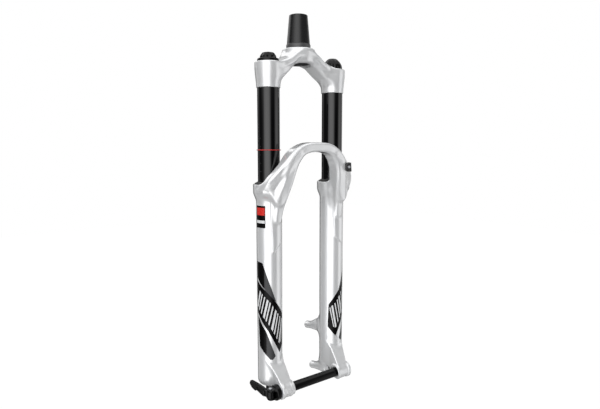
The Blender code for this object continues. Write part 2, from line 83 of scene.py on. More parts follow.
# Sizes of the casting and the stanchions, as on the CAD nodes that they replace
LEG_R, RIM_R, STANCHION_R, STANCHION_BORE = 20.5, 25.3, 17.5, 15.5
LEG_BORE_R, SEAL_SEAT_R, CROWN_CLEAR_R = 18.9, 21.3, 23.4
FOOT_HOLE_R = 4.2
AXLE_BORE_R, HUB_SEAT_R, HUB_HALF = 7.8, 10.4, 50.0
DROPOUT_LIP_X, DAMPER_DROPOUT_X, AIR_DROPOUT_X = 46.0, 69.4, 74.0
POST_X, POST_TILT, POST_SPACING, POST_R, POST_HOLE_R = 55.0, math.radians(-11.9), 74.2, 6.6, 2.7
POST_MIDDLE = (39.3, -528.4)


# ---------------------------------------------------------------- distance fields

def smoothstep(t):
    t = np.clip(t, 0.0, 1.0)
    return t * t * (3 - 2 * t)


def between(z, low, high, at_low, at_high):
    """A value that goes smoothly from one to another over a stretch."""
    return at_low + (at_high - at_low) * smoothstep((z - low) / (high - low))


def join(a, b, fillet):
    """The union of two fields, with a round fillet of that radius where they meet."""
    u, v = np.maximum(fillet - a, 0), np.maximum(fillet - b, 0)
    return np.maximum(fillet, np.minimum(a, b)) - np.hypot(u, v)


def overlap(a, b, edge):
    """The common part of two fields, with its edge rounded."""
    u, v = np.maximum(edge + a, 0), np.maximum(edge + b, 0)
    return np.minimum(-edge, np.maximum(a, b)) + np.hypot(u, v)


def carve(a, b, edge):
    """The first field without the second, with its edge rounded."""
    return overlap(a, -b, edge)


def rounded_box(u, v, half_u, half_v, corner):
    """A rectangle's field in its own two coordinates."""
    p, q = np.abs(u) - half_u + corner, np.abs(v) - half_v + corner
    return np.hypot(np.maximum(p, 0), np.maximum(q, 0)) + np.minimum(np.maximum(p, q), 0) - corner


def convex(u, v, points, corner):
    """A convex outline's field, its points anticlockwise, with rounded corners."""
    field = None
    for (u0, v0), (u1, v1) in zip(points, points[1:] + points[:1]):
        length = math.hypot(u1 - u0, v1 - v0)
        side = ((u - u0) * (v1 - v0) - (v - v0) * (u1 - u0)) / length
        field = side if field is None else overlap(field, side, corner)
    return field


def smooth_path(points, steps=6):
    """Rows along a Catmull-Rom curve through the given rows."""
    rows = np.array(points, float)
    knots = np.vstack([2 * rows[0] - rows[1], rows, 2 * rows[-1] - rows[-2]])
    path = []
    for a, b, c, d in zip(knots, knots[1:], knots[2:], knots[3:]):
        squared, cubed = 2 * a - 5 * b + 4 * c - d, 3 * b - 3 * c + d - a
        path += [0.5 * (2 * b + (c - a) * t + squared * t ** 2 + cubed * t ** 3) for t in np.arange(steps) / steps]
    return np.array(path + [rows[-1]])


def swept_bar(x, y, z, points, corner):
    """A bar along a path in the XZ plane. A point is (x, y, z, thickness across the path, depth in Y)."""
    path = smooth_path(points)
    nearest = np.full(np.broadcast(x, z).shape, 1e9)
    row = [np.zeros(nearest.shape) for _ in range(3)]
    for a, b in zip(path, path[1:]):
        dx, dz = b[0] - a[0], b[2] - a[2]
        t = np.clip(((x - a[0]) * dx + (z - a[2]) * dz) / (dx * dx + dz * dz), 0, 1)
        across = np.hypot(x - a[0] - t * dx, z - a[2] - t * dz)
        closer = across < nearest
        nearest = np.where(closer, across, nearest)
        row = [np.where(closer, a[n] + (b[n] - a[n]) * t, kept) for n, kept in zip((1, 3, 4), row)]
    middle, thick, deep = row
    return rounded_box(nearest, y - middle, thick / 2, deep / 2, corner * np.minimum(thick, deep))


# ---------------------------------------------------------------- meshes from fields

SLAB = 40                           # layers of the grid that are worked out at a time
NET_STEPS, FILM_STEPS = 3, 4        # how often points are moved on to their surface
LONGEST_STEP = 0.6


def surface_net(field, axes):
    """The field's zero surface as (points, quads): one point in each cell that it crosses, then moved on to it."""
    xs, ys, zs = axes
    values = np.concatenate([field(xs[:, None, None], ys[None, :, None], zs[None, None, i:i + SLAB])
                             for i in range(0, len(zs), SLAB)], axis=2).astype(np.float32)
    inside = values < 0
    shape = tuple(n - 1 for n in inside.shape)
    corners = [(i, j, k) for i in (0, 1) for j in (0, 1) for k in (0, 1)]
    part = lambda grid, c: grid[c[0]:c[0] + shape[0], c[1]:c[1] + shape[1], c[2]:c[2] + shape[2]]
    total = sum(part(inside, c).astype(np.int8) for c in corners)
    cells = np.argwhere((total > 0) & (total < 8))
    index = np.full(shape, -1, np.int64)
    index[tuple(cells.T)] = np.arange(len(cells))

    place = lambda c: np.stack([axis[cells[:, n] + c[n]] for n, axis in enumerate(axes)], 1)
    level = lambda c: values[tuple((cells + c).T)]
    points, crossings = np.zeros((len(cells), 3)), np.zeros(len(cells))
    for a in corners:
        for n in range(3):
            if a[n]:
                continue
            b = tuple(v + (m == n) for m, v in enumerate(a))
            low, high = level(a), level(b)
            crossed = (low < 0) != (high < 0)
            t = np.where(crossed, low / np.where(crossed, low - high, 1), 0)[:, None]
            points += np.where(crossed[:, None], place(a) * (1 - t) + place(b) * t, 0)
            crossings += crossed
    points /= crossings[:, None]

    quads = []
    for n in range(3):
        p, q = (n + 1) % 3, (n + 2) % 3
        low = np.take(inside, np.arange(inside.shape[n] - 1), n)
        high = np.take(inside, np.arange(1, inside.shape[n]), n)
        edges = np.argwhere(low != high)
        edges = edges[(edges[:, p] > 0) & (edges[:, q] > 0) & (edges[:, p] < inside.shape[p] - 1)
                      & (edges[:, q] < inside.shape[q] - 1)]
        around = []
        for back_p, back_q in ((1, 1), (0, 1), (0, 0), (1, 0)):
            cell = edges.copy()
            cell[:, p] -= back_p
            cell[:, q] -= back_q
            around.append(index[tuple(cell.T)])
        quad = np.stack(around, 1)
        outward = low[tuple(edges.T)]
        quads.append(np.where(outward[:, None], quad, quad[:, ::-1]))
    for _ in range(NET_STEPS):
        points -= step_to_surface(field, points)
    return points, np.concatenate(quads)


def gradient(field, points, reach=0.1):
    x, y, z = points.T
    return np.stack([field(x + reach, y, z) - field(x - reach, y, z),
                     field(x, y + reach, z) - field(x, y - reach, z),
                     field(x, y, z + reach) - field(x, y, z - reach)], 1) / (2 * reach)


def step_to_surface(field, points, offset=0.0):
    """How far to move each point back, within LONGEST_STEP, to bring it on to the field's surface."""
    slope = gradient(field, points)
    size = np.maximum((slope ** 2).sum(1), 0.05)
    move = slope * ((field(*points.T) - offset) / size)[:, None]
    length = np.linalg.norm(move, axis=1, keepdims=True)
    return move * np.minimum(1, LONGEST_STEP / np.maximum(length, 1e-9))


def add_mesh(name, points, faces, material, body):
    """A piece from points in millimetres."""
    mesh = bpy.data.meshes.new(name)
    mesh.from_pydata(((np.asarray(points) + DATUM) * MM).tolist(), [], [list(map(int, f)) for f in faces])
    mesh.validate()
    mesh.update()
    mesh.shade_smooth()
    obj = bpy.data.objects.new(name, mesh)
    bpy.context.scene.collection.objects.link(obj)
    mesh.materials.append(material)
    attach(obj, body)
    return obj


# ---------------------------------------------------------------- lower legs

ARCH = [(-12, -45, -163, 15, 24), (0, -45, -162.8, 15, 24), (14, -45, -163.3, 15.5, 24), (26, -45, -166, 16.5, 24),
        (36, -44, -172, 18, 25), (44, -42.8, -182, 19.5, 26), (50, -41.5, -196, 20, 26), (54.5, -38, -214, 21, 26),
        (58.5, -33, -234, 21, 24), (61, -29, -254, 17, 18), (62, -27, -276, 11, 11)]
OUTER_BAR = [(40, -43.6, -175, 13, 20), (54, -43.6, -187, 14, 20), (67, -41, -201, 14, 17), (78, -33, -216, 15, 16),
             (83, -23, -231, 13, 15)]
GUSSET = [(42, -180), (58, -252), (70, -252), (86, -226)]
RIB_X, RIB_R, RIB_END_Z = 64.0, 22.0, -321.0
WEB = [(-12, -494), (-27, -508), (-38, -522), (-50, -539), (-54.6, -550), (-47, -561), (-38, -561), (-12, -540)]
UPPER_END_FROM_Z, LOWER_END_FROM_Z = -340, -440     # between them a leg is a plain tube
FINE_HEIGHTS = (-600, -478), (-268, -150)
MARGIN = 2.5                        # room round a node for the grid


def leg_shell(x, y, z):
    """The outside of both legs: a tube that swells to the seal housing, rounded at its foot."""
    around = np.hypot(np.abs(x) - LEG_X, y - LEG_Y)
    radius = between(z, -250, -232, LEG_R, RIM_R) - between(z, -560, -300, 0.5, 0)
    field = overlap((around - radius) * 0.95, z - RIM_Z, 1.2)
    return overlap(field, LEG_BOTTOM_Z - z, 9.0)


def arch(x, y, z):
    """The arch, whose feet fork into a bar to the leg's front and one to the outside of the seal housing."""
    ax = np.abs(x)
    main = swept_bar(ax, y, z, ARCH, 0.3)
    outer = swept_bar(ax, y, z, OUTER_BAR, 0.34)
    wrap = np.abs(np.hypot(ax - LEG_X, y - LEG_Y) - 27.5) - 3.6
    gusset = overlap(overlap(wrap, convex(ax, z, GUSSET, 5.0), 2.5), y + 22, 2.5)
    return join(join(main, outer, 7.0), gusset, 7.0)


def front_rib(x, y, z):
    """A low flat rib that runs from the arch's foot down the leg's front to a slanted end."""
    ax = np.abs(x)
    around = np.hypot(ax - LEG_X, y - LEG_Y)
    rib = overlap(around - RIB_R, np.abs(ax - RIB_X) - between(z, RIB_END_Z, -262, 8.0, 10.5), 0.8)
    rib = overlap(rib, (RIB_END_Z - z + 0.9 * (RIB_X - ax)) * 0.75, 1.2)
    return overlap(overlap(rib, y + 15, 0.8), z + 245, 1.0)


def dropouts(x, y, z):
    """Spool-shaped bosses round the axle, each on a web from its leg's front."""
    ax = np.abs(x)
    around = np.hypot(y - AXLE_Y, z - AXLE_Z)
    outer_x = np.where(x < 0, DAMPER_DROPOUT_X, AIR_DROPOUT_X)
    lip, flare = DROPOUT_LIP_X, outer_x - 7
    waist = between(ax, lip + 5, lip + 8, 13.0, 12.2) + between(ax, flare, flare + 3, 0, 1.3)
    span = rounded_box(ax - (lip + outer_x) / 2, 0 * y, (outer_x - lip) / 2, 9, 0.5)
    boss = overlap(around - waist, span, 0.9)
    web_x, web_half = between(z, -545, -498, 59.5, 64.0), between(z, -545, -498, 10.2, 14.5)
    web = overlap(convex(y, z, WEB, 5.0), np.abs(ax - web_x) - web_half, 2.6)
    return boss, web


def posts(x, y, z):
    """The two brake posts and their bolt holes."""
    along, across = (math.cos(POST_TILT), math.sin(POST_TILT)), (-math.sin(POST_TILT), math.cos(POST_TILT))
    solid, holes = None, None
    for sign in (1, -1):
        tip = [m + sign * POST_SPACING / 2 * c for m, c in zip(POST_MIDDLE, across)]
        back = -((y - tip[0]) * along[0] + (z - tip[1]) * along[1])
        rise = (y - tip[0]) * across[0] + (z - tip[1]) * across[1]
        grow = 1 + 0.9 * smoothstep((back - 8) / 34)
        barrel = np.hypot(x - POST_X, (rise - 2.0 * smoothstep((back - 8) / 30)) / grow) - POST_R
        post = overlap(overlap(barrel, -back, 0.8), back - 44, 2)
        hole = overlap(np.hypot(x - POST_X, rise) - POST_HOLE_R, back - 16, 0.3)
        solid = post if solid is None else np.minimum(solid, post)
        holes = hole if holes is None else np.minimum(holes, hole)
    return solid, holes


def bores(x, y, z):
    """What is machined out, apart from the legs' own bores: room for the crown, foot holes, axle bore, hub seats."""
    ax = np.abs(x)
    around = np.hypot(ax - LEG_X, y - LEG_Y)
    room = np.minimum(np.maximum(around - CROWN_CLEAR_R, RIM_Z - z), around - FOOT_HOLE_R)
    around = np.hypot(y - AXLE_Y, z - AXLE_Z)
    slot = np.maximum(np.abs(y - AXLE_Y) - HUB_SEAT_R, z - AXLE_Z)
    hub = overlap(np.minimum(around - HUB_SEAT_R, slot), ax - HUB_HALF, 0.3)
    return np.minimum(np.minimum(room, around - AXLE_BORE_R), hub)


def lower_legs(x, y, z):
    field = leg_shell(x, y, z)
    if np.max(z) > UPPER_END_FROM_Z:
        field = join(field, arch(x, y, z), 7.0)
        field = join(field, front_rib(x, y, z), 1.5)
    if np.min(z) < LOWER_END_FROM_Z:
        boss, web = dropouts(x, y, z)
        solid, holes = posts(x, y, z)
        field = join(join(field, web, 4.5), boss, 2.5)
        field = carve(join(field, solid, 8.0), holes, 0.3)
    return carve(field, bores(x, y, z), 0.7)


def graded(low, high, coarse, fine, *fine_ranges):
    """Grid lines with a fine step inside the given ranges and a coarse one elsewhere."""
    lines = [low]
    while lines[-1] < high:
        close = any(a - 2 <= lines[-1] < b for a, b in fine_ranges)
        lines.append(lines[-1] + (fine if close else coarse))
    return np.array(lines)


def revolve(outline, segments=96, flute=None):
    """Points and faces of a closed outline of (radius, height) points, turned about Z."""
    points, faces, index = [], [], []
    for radius, height in outline:
        first, count = len(points), 1 if radius < 1e-6 else segments
        for i in range(count):
            angle = 2 * math.pi * i / segments
            r = radius * (flute(angle, height) if flute else 1.0)
            points.append((r * math.cos(angle), r * math.sin(angle), height))
        index.append(list(range(first, first + segments)) if count > 1 else [first] * segments)
    for ring, following in zip(index, index[1:] + index[:1]):
        for i in range(segments):
            j = (i + 1) % segments
            corners = list(dict.fromkeys((ring[i], ring[j], following[j], following[i])))
            if len(corners) > 2:
                faces.append(corners)
    return points, faces


def face_outward(mesh):
    """Turns every face of a closed mesh to the outside."""
    bm = bmesh.new()
    bm.from_mesh(mesh)
    bmesh.ops.recalc_face_normals(bm, faces=bm.faces)
    bm.to_mesh(mesh)
    bm.free()


def lathe(name, outline, at):
    """A turned solid as a plain object, to cut with."""
    points, faces = revolve(outline)
    mesh = bpy.data.meshes.new(name)
    mesh.from_pydata(((np.array(points) + at + DATUM) * MM).tolist(), [], faces)
    face_outward(mesh)
    obj = bpy.data.objects.new(name, mesh)
    bpy.context.scene.collection.objects.link(obj)
    return obj


def cut(obj, cutters):
    """Takes the cutters out of the piece and removes them."""
    for cutter in cutters:
        modifier = obj.modifiers.new("cut", "BOOLEAN")
        modifier.operation, modifier.solver, modifier.object = "DIFFERENCE", "EXACT", cutter
        with bpy.context.temp_override(object=obj, active_object=obj):
            bpy.ops.object.modifier_apply(modifier=modifier.name)
        bpy.data.objects.remove(cutter)


def shade_by(obj, field):
    """Takes the shading from the field's own normals, which are truer than the faces'."""
    slope = gradient(field, np.array([v.co for v in obj.data.vertices]) / MM - DATUM)
    slope /= np.maximum(np.linalg.norm(slope, axis=1, keepdims=True), 1e-9)
    obj.data.normals_split_custom_set_from_vertices(slope.tolist())


def leg_bores(x, y, z):
    """The legs' own bores, as a field that only shades what the cutters leave."""
    around = np.hypot(np.abs(x) - LEG_X, y - LEG_Y)
    radius = np.where(z > SEAL_SEAT_Z, SEAL_SEAT_R, LEG_BORE_R)
    return np.maximum(np.maximum(around - radius, LEG_FLOOR_Z - z), z - RIM_Z - 3)


def finished_legs(x, y, z):
    return carve(lower_legs(x, y, z), leg_bores(x, y, z), 0.4)


def make_lower_legs(paint):
    step = 1.2
    low, high = LEGS_LOW - MARGIN, LEGS_HIGH + MARGIN
    axes = (graded(low[0], high[0], step, step), graded(low[1], high[1], step, step),
            graded(low[2], high[2], 3.2, step, *FINE_HEIGHTS))
    points, quads = surface_net(lower_legs, axes)
    casting = add_mesh("lower_leg_casting", points, quads, paint, "lowers")
    bore = [(0, LEG_FLOOR_Z), (LEG_BORE_R, LEG_FLOOR_Z), (LEG_BORE_R, SEAL_SEAT_Z), (SEAL_SEAT_R, SEAL_SEAT_Z),
            (SEAL_SEAT_R, RIM_Z + 3), (0, RIM_Z + 3)]
    cut(casting, [lathe("bore", bore, (x, LEG_Y, 0)) for x in (LEFT, RIGHT)])
    shade_by(casting, finished_legs)
    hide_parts("lower_legs")


# ---------------------------------------------------------------- crown

CROWN_ARM = [(-14, -2, -18.3, 19.4, 36), (0, -2, -18, 20, 36), (14, -2.5, -18.8, 18.5, 36), (24, -4, -24.5, 18, 36),
             (33, -5.5, -32, 18, 36), (41, -7, -39.5, 18, 35), (49, -8.4, -45.5, 19, 33), (60, -9.2, -50, 21, 32)]
FRONT_RIB = [(-12, -20.5, -14, 9, 12), (2, -19.5, -13, 9, 11), (13, -20.5, -15, 10, 12), (22, -22, -21, 11, 11),
             (31, -22.5, -28, 11, 10), (44, -22, -33.5, 11, 10), (58, -19, -39, 11, 10)]
SEAT_Z = CROWN_HIGH[2]
COLLAR_R, BOSS_R, BOSS_FOOT_R = 26.8, 21.2, 18.7
COLLAR_FLOOR_Z = node_box("steerer_tube")[0][2]
STEERER_BORE_R, RACE_RELIEF_R, STANCHION_BORE_R, CAP_ROOM_R = 19.3, 20.2, 17.8, 20.2


def crown(x, y, z):
    """A forged crown: a collar, and two arms with a rib along each side that run down into the stanchion bosses."""
    ax = np.abs(x)
    around = np.hypot(x, y)
    collar = overlap(around - COLLAR_R - between(z, -30, -10, -1.5, 0), z - SEAT_Z, 2.2)
    collar = overlap(collar, COLLAR_FLOOR_Z - z, 4.0)
    arm = swept_bar(ax, y, z, CROWN_ARM, 0.36)
    front = swept_bar(ax, y, z, FRONT_RIB, 0.38)
    rear = swept_bar(ax, -y + 2 * LEG_Y + 10, z, FRONT_RIB, 0.38)
    arms = join(join(arm, front, 3.5), rear, 3.5)
    around_leg = np.hypot(ax - LEG_X, y - LEG_Y)
    radius = between(z, CROWN_LOW[2], -40, BOSS_FOOT_R, BOSS_R)
    boss = overlap(overlap(around_leg - radius, z - BOSS_TOP_Z, 2.2), CROWN_LOW[2] - z, 1.4)
    field = join(join(arms, boss, 7.0), collar, 6.0)
    field = np.maximum(field, z - SEAT_Z)
    steerer_bore = np.minimum(around - STEERER_BORE_R, np.maximum(around - RACE_RELIEF_R, SEAT_Z - 1.5 - z))
    cap_room = np.maximum(around_leg - CAP_ROOM_R, BOSS_TOP_Z - z)
    return carve(field, np.minimum(steerer_bore, cap_room), 0.6)


def finished_crown(x, y, z):
    around_leg = np.hypot(np.abs(x) - LEG_X, y - LEG_Y)
    return carve(crown(x, y, z), around_leg - STANCHION_BORE_R, 0.3)


def make_crown(paint):
    step = 1.0
    axes = [np.arange(low - MARGIN, high + MARGIN + step, step) for low, high in zip(CROWN_LOW, CROWN_HIGH)]
    points, quads = surface_net(crown, axes)
    piece = add_mesh("forged_crown", points, quads, paint, "upper")
    foot, top = CROWN_LOW[2] - 3, BOSS_TOP_Z + 3
    bore = [(0, foot), (STANCHION_BORE_R, foot), (STANCHION_BORE_R, top), (0, top)]
    cut(piece, [lathe("bore", bore, (x, LEG_Y, 0)) for x in (LEFT, RIGHT)])
    shade_by(piece, finished_crown)
    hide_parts("crown")


# ---------------------------------------------------------------- turned pieces

SHARP_DEGREES = 40


def softened(outline, radius):
    """A closed outline with each corner off the axis turned into a short round of five points."""
    result = []
    count = len(outline)
    for i, corner in enumerate(outline):
        corner = np.array(corner, float)
        before, after = np.array(outline[i - 1], float), np.array(outline[(i + 1) % count], float)
        reach = min(radius, 0.45 * np.linalg.norm(before - corner), 0.45 * np.linalg.norm(after - corner))
        if corner[0] < 1e-6 or reach < 0.02:
            result.append(tuple(corner))
            continue
        start = corner + (before - corner) / np.linalg.norm(before - corner) * reach
        end = corner + (after - corner) / np.linalg.norm(after - corner) * reach
        for t in (0, 0.25, 0.5, 0.75, 1):
            result.append(tuple(start * (1 - t) ** 2 + 2 * corner * t * (1 - t) + end * t ** 2))
    return result


def turned(name, outline, at, axis, material, body, replaced=(), edge=0.4, segments=96, flute=None):
    """A turned piece with softened edges. flute(angle, height) scales the radius of the piece's outside."""
    points, faces = revolve(softened(outline, edge), segments, flute)
    spin = Matrix.Rotation(math.pi / 2, 3, "Y") if axis == "X" else Matrix.Identity(3)
    points = [tuple(spin @ Vector(point) + Vector(at)) for point in points]
    piece = add_mesh(name, points, faces, material, body)
    face_outward(piece.data)
    piece.data.set_sharp_from_angle(angle=math.radians(SHARP_DEGREES))
    if replaced:
        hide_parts(*replaced)


def scallops(count, depth, low, high):
    """Finger scallops round a knob between two heights."""
    def scale(angle, height):
        fade = between(height, low - 0.8, low, 0, 1) * between(height, high, high + 1.5, 1, 0)
        return 1 - depth * fade * (0.5 + 0.5 * math.cos(count * angle)) ** 2
    return scale


def make_upper_pieces(finish):
    """Steerer, stanchions, caps and knobs."""
    low, high = node_box("steerer_tube")
    seat_foot, seat_top = SEAT_Z - 1.2, SEAT_Z + 7.3
    turned("steerer", [(19.0, low[2]), (19.0, seat_foot), (19.9, seat_foot), (19.9, seat_top), (19.0, seat_top + 0.6),
                       (15.0, high[2]), (12.6, high[2]), (16.0, seat_top), (16.0, low[2])], (0, 0, 0), "Z",
           finish["black_steerer"], "upper", ["steerer_tube"], 0.5)
    for side, x in (("damper", LEFT), ("air", RIGHT)):
        foot, top = (corner[2] for corner in node_box(f"{side}_stanchion"))
        wall = [(STANCHION_BORE, foot), (STANCHION_R, foot), (STANCHION_R, top), (STANCHION_BORE, top)]
        turned(f"{side}_upper_tube", wall, (x, LEG_Y, 0), "Z", finish["black_anodised"], "upper",
               [f"{side}_stanchion"], 0.6)
    here = (LEFT, LEG_Y, 0)
    turned("damper_cap", [(4.3, -58), (9, -58), (9, -50), (15.2, -50), (15.2, -35.7), (17.1, -35.7), (17.1, -28.4),
                          (15.9, -27), (4.3, -27)], here, "Z", finish["knob_black"], "upper",
           ["damper_top_cap"], 0.5)
    turned("damper_knob", [(2.3, -64), (4, -64), (4, -26.7), (12.8, -26.7), (12.7, -23.4), (10.9, -20.6), (9.2, -18.4),
                           (5.8, -18.0), (5.8, -24.3), (2.3, -24.3)], here, "Z", finish["knob_black"],
           "compression_knob", ["compression_knob"], 0.6, 144, scallops(6, 0.13, -27.5, -20))
    turned("damper_dial", [(0, -78), (2, -78), (2, -24), (5.5, -24), (5.5, -18.0), (4.6, -17.4), (2.2, -17.4),
                           (1.8, -18.4), (0, -18.4)], here, "Z", finish["knob_black"],
           "low_speed_dial", ["low_speed_dial"], 0.35, 96, scallops(18, 0.05, -25, -18.2))
    here = (RIGHT, LEG_Y, 0)
    turned("air_cap_body", [(4.4, -62), (8, -62), (8, -50), (15.2, -50), (15.2, -35.7), (16.8, -35.7), (16.8, -32.6),
                            (13.4, -32.6), (13.4, -28.6), (6.2, -28.6), (6.2, -21), (4.4, -21)], here, "Z",
           finish["knob_black"], "upper", ["air_top_cap"], 0.4)
    turned("air_cap", [(13.9, -32.2), (16.4, -32.2), (16.4, -27.5), (15.4, -24), (12.6, -19.5), (8.6, -15.4), (6.4, -14),
                       (0, -14), (0, -16), (6.6, -16.6), (13.9, -26)], here, "Z", finish["knob_black"],
           "air_valve_cap", ["air_valve_cap"], 1.1, 144, scallops(12, 0.045, -31.5, -20))
    low, high = node_box("travel_ring")
    ring_z, ring_r = (low[2] + high[2]) / 2, (high[2] - low[2]) / 2
    circle = [(18.5 + 0.8 * math.cos(a), ring_z + ring_r * math.sin(a)) for a in np.arange(16) * math.pi / 8]
    turned("sag_ring", circle, (LEFT, LEG_Y, 0), "Z", finish["red_rubber"], "travel_ring",
           ["travel_ring"], 0)


def make_seals(finish):
    """The wipers' outer lips and their garter springs' grooves."""
    for side, x in (("damper", LEFT), ("air", RIGHT)):
        outline = [(17.8, -229), (21, -229), (21, RIM_Z + 0.3), (22.8, RIM_Z + 0.3), (22.6, RIM_Z + 1.6),
                   (20.6, RIM_Z + 2.1), (20.2, RIM_Z + 2.9), (19.4, RIM_Z + 2.2), (18.8, RIM_Z + 3.6),
                   (17.8, RIM_Z + 4.0)]
        turned(f"{side}_wiper", outline, (x, LEG_Y, 0), "Z", finish["black_rubber"], "lowers",
               [f"{side}_wiper_seal"], 0.35)


# ---------------------------------------------------------------- axle and lever

HUB_X, PIN_X = node_box("axle_washer")[0][0], centre("lever_pin")[0]
HEAD_END_X = -58.0                  # where the axle's head ends and its plain shaft starts
SHAFT_R, SHAFT_BORE, FLANGE_R, PIN_HOLE_R = 7.5, 5.2, 12.1, 2.8
THREAD_X, THREAD_END_X, THREAD_ROOT_R, THREAD_PITCH, THREAD_TURNS = 54.2, 72, 7.15, 1.5, 12
BLADE = [(12.8, -551.5), (10, -545.6), (-8, -543.6), (-30, -543.4), (-34, -546.2), (-34, -555.8), (-29, -558.3),
         (-12, -556.4), (5, -553.8)]
BLADE_HOOK = [(-5.5, -558.5), (5, -557.4), (12.5, -552.8), (8, -548), (-9, -553)]


def axle_hub(x, y, z):
    """The axle's head: a round flange with a fork that the cam lever turns in."""
    around = np.hypot(y - AXLE_Y, z - AXLE_Z)
    disc = overlap(overlap(around - FLANGE_R, x - HUB_X, 0.4), HUB_X - 7.6 - x, 1.6)
    cheek = rounded_box(x - (PIN_X + 4.5), y - AXLE_Y, 9.4, 6.8, 5.6)
    clevis = overlap(cheek, np.abs(z - AXLE_Z) - 8.4, 1.6)
    field = join(disc, clevis, 3.6)
    field = join(field, overlap(around - SHAFT_R, HUB_X - 1 - x, 0.2), 0.8)
    field = np.maximum(field, x - HEAD_END_X)
    slot = np.maximum(np.abs(z - AXLE_Z) - 5.6, x - (HUB_X - 8.2))
    pin = np.hypot(x - PIN_X, y - AXLE_Y) - PIN_HOLE_R
    return carve(field, np.minimum(np.minimum(slot, pin), around - SHAFT_BORE), 0.3)


def lever(x, y, z):
    """The cam lever: a thumb blade with a hooked tip, and an eye round the pin."""
    side = np.abs(x - PIN_X + 3.4) - 2.2
    outline = join(convex(y, z, BLADE, 1.6), convex(y, z, BLADE_HOOK, 1.2), 2.0)
    dish = (np.hypot((y + 22) / 2.6, z - AXLE_Z) - 4.6) * 0.6
    blade = overlap(outline, side, 1.0)
    blade = carve(blade, np.maximum(dish, x - (PIN_X - 4.4)), 0.4)
    neck = overlap(rounded_box(y - (AXLE_Y + 5), z - AXLE_Z, 8, 4.9, 1.5), side, 0.8)
    eye = overlap(np.hypot(x - PIN_X, y - AXLE_Y) - 5.9, np.abs(z - AXLE_Z) - 5.2, 0.5)
    field = join(join(blade, neck, 2.0), eye, 1.0)
    return carve(field, np.hypot(x - PIN_X, y - AXLE_Y) - PIN_HOLE_R, 0.3)


def make_axle(finish):
    step = 0.45
    black = finish["knob_black"]
    low, high = node_box("axle_tube")
    spans = ((low[0] - 1, HEAD_END_X + 1), (low[1] - 1, high[1] + 1), (low[2] - 1, high[2] + 1))
    points, quads = surface_net(axle_hub, [np.arange(a, b, step) for a, b in spans])
    head = add_mesh("axle_head", points, quads, black, "axle")
    shade_by(head, axle_hub)
    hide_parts("axle_tube")
    shaft = [(SHAFT_BORE, HEAD_END_X - 0.4), (SHAFT_R, HEAD_END_X - 0.4), (SHAFT_R, 52), (THREAD_ROOT_R, 53)]
    for crest in THREAD_X + THREAD_PITCH * np.arange(THREAD_TURNS):
        shaft += [(SHAFT_R, crest), (THREAD_ROOT_R, crest + THREAD_PITCH / 2)]
    shaft += [(6.8, THREAD_END_X), (SHAFT_BORE, THREAD_END_X)]
    turned("axle_shaft", shaft, (0, AXLE_Y, AXLE_Z), "X", black, "axle", (), 0.2)
    low, high = node_box("axle_lever")
    points, quads = surface_net(lever, [np.arange(a - 1.2, b + 1.2, step) for a, b in zip(low, high)])
    blade = add_mesh("cam_lever", points, quads, black, "axle_lever")
    shade_by(blade, lever)
    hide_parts("axle_lever")


# ---------------------------------------------------------------- hose guide

def hose_guide(x, y, z):
    """A clip on the front of the arch's foot: a pad under the bolt and a loop that the brake hose is pressed into."""
    low, back = GUIDE_LOW, GUIDE_HIGH[1]
    mid_z = (low[2] + GUIDE_HIGH[2]) / 2
    lean = (z - mid_z) / (GUIDE_HIGH[2] - low[2])
    around_hose = np.hypot(x - HOSE_X, y - HOSE_Y)
    pad = overlap(rounded_box(x - GUIDE_BOLT_X, z - mid_z, 2.6, 5.4, 2.0), np.abs(y - back + 2.6) - 2.6, 0.8)
    loop = overlap(around_hose - HOSE_LOOP_R + 0.9 * lean, np.abs(z - mid_z) - 7.9, 1.2)
    plate = rounded_box(x - (GUIDE_BOLT_X + HOSE_X) / 2, y - back + 1.8, 3.2, 1.8, 0.6)
    field = join(join(pad, loop, 1.6), overlap(plate, np.abs(z - mid_z) - 7, 1.0), 1.2)
    mouth = rounded_box(x - HOSE_X - 3.2, y - HOSE_Y, 3.0, 1.3, 0.3)
    hose = np.minimum(around_hose - HOSE_HOLE_R, mouth)
    bolt = np.hypot(x - GUIDE_BOLT_X, z - mid_z) - 1.8
    return carve(field, np.minimum(hose, bolt), 0.3)


GUIDE_LOW, GUIDE_HIGH = node_box("hose_guide")
GUIDE_BOLT_X = centre("hose_guide_bolt")[0]
HOSE_LOOP_R, HOSE_HOLE_R = 3.3, 2.4
HOSE_X, HOSE_Y = GUIDE_HIGH[0] - HOSE_LOOP_R, (GUIDE_LOW[1] + GUIDE_HIGH[1]) / 2


def make_hose_guide(finish):
    axes = [np.arange(a - 1.2, b + 1.2, 0.55) for a, b in zip(GUIDE_LOW, GUIDE_HIGH)]
    points, quads = surface_net(hose_guide, axes)
    clip = add_mesh("hose_clip", points, quads, finish["black_plastic"], "lowers")
    shade_by(clip, hose_guide)
    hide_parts("hose_guide")


# ---------------------------------------------------------------- decals

# Corners of each print, as (degrees round the leg, height). The damper leg's; the air leg's are their mirror.
WEDGE_TOP = [(-193, -343), (-193, -369), (-91.5, -408.8), (-156, -344.8)]
BAND = [(-195, -373), (-191, -426), (-129.8, -455.4), (-74.9, -492.8), (-34.7, -475.3), (-39, -435.4), (-119.7, -395.8)]
WEDGE_LOW = [(-187, -431.6), (-176.7, -481.7), (-121.6, -502.4), (-109.8, -502.8), (-96.1, -497.5), (-138.9, -457.2)]
BADGE = [(-195, -254), (-195, -289), (-140, -289), (-140, -254)]
BADGE_RED = [(-191, -257), (-191, -269), (-143, -269), (-143, -257)]
BADGE_BAR = [(-191, -277), (-191, -281.5), (-143, -281.5), (-143, -277)]
GREY_FROM = -147                    # the wedges' right parts are grey from this angle
BAR_ANGLES, BAR_WIDTH, WIDE_BAR, BAR_LEAN, BAR_SHARE = np.arange(-193, -66, 12.5), 4.5, 7.5, 20, 0.62
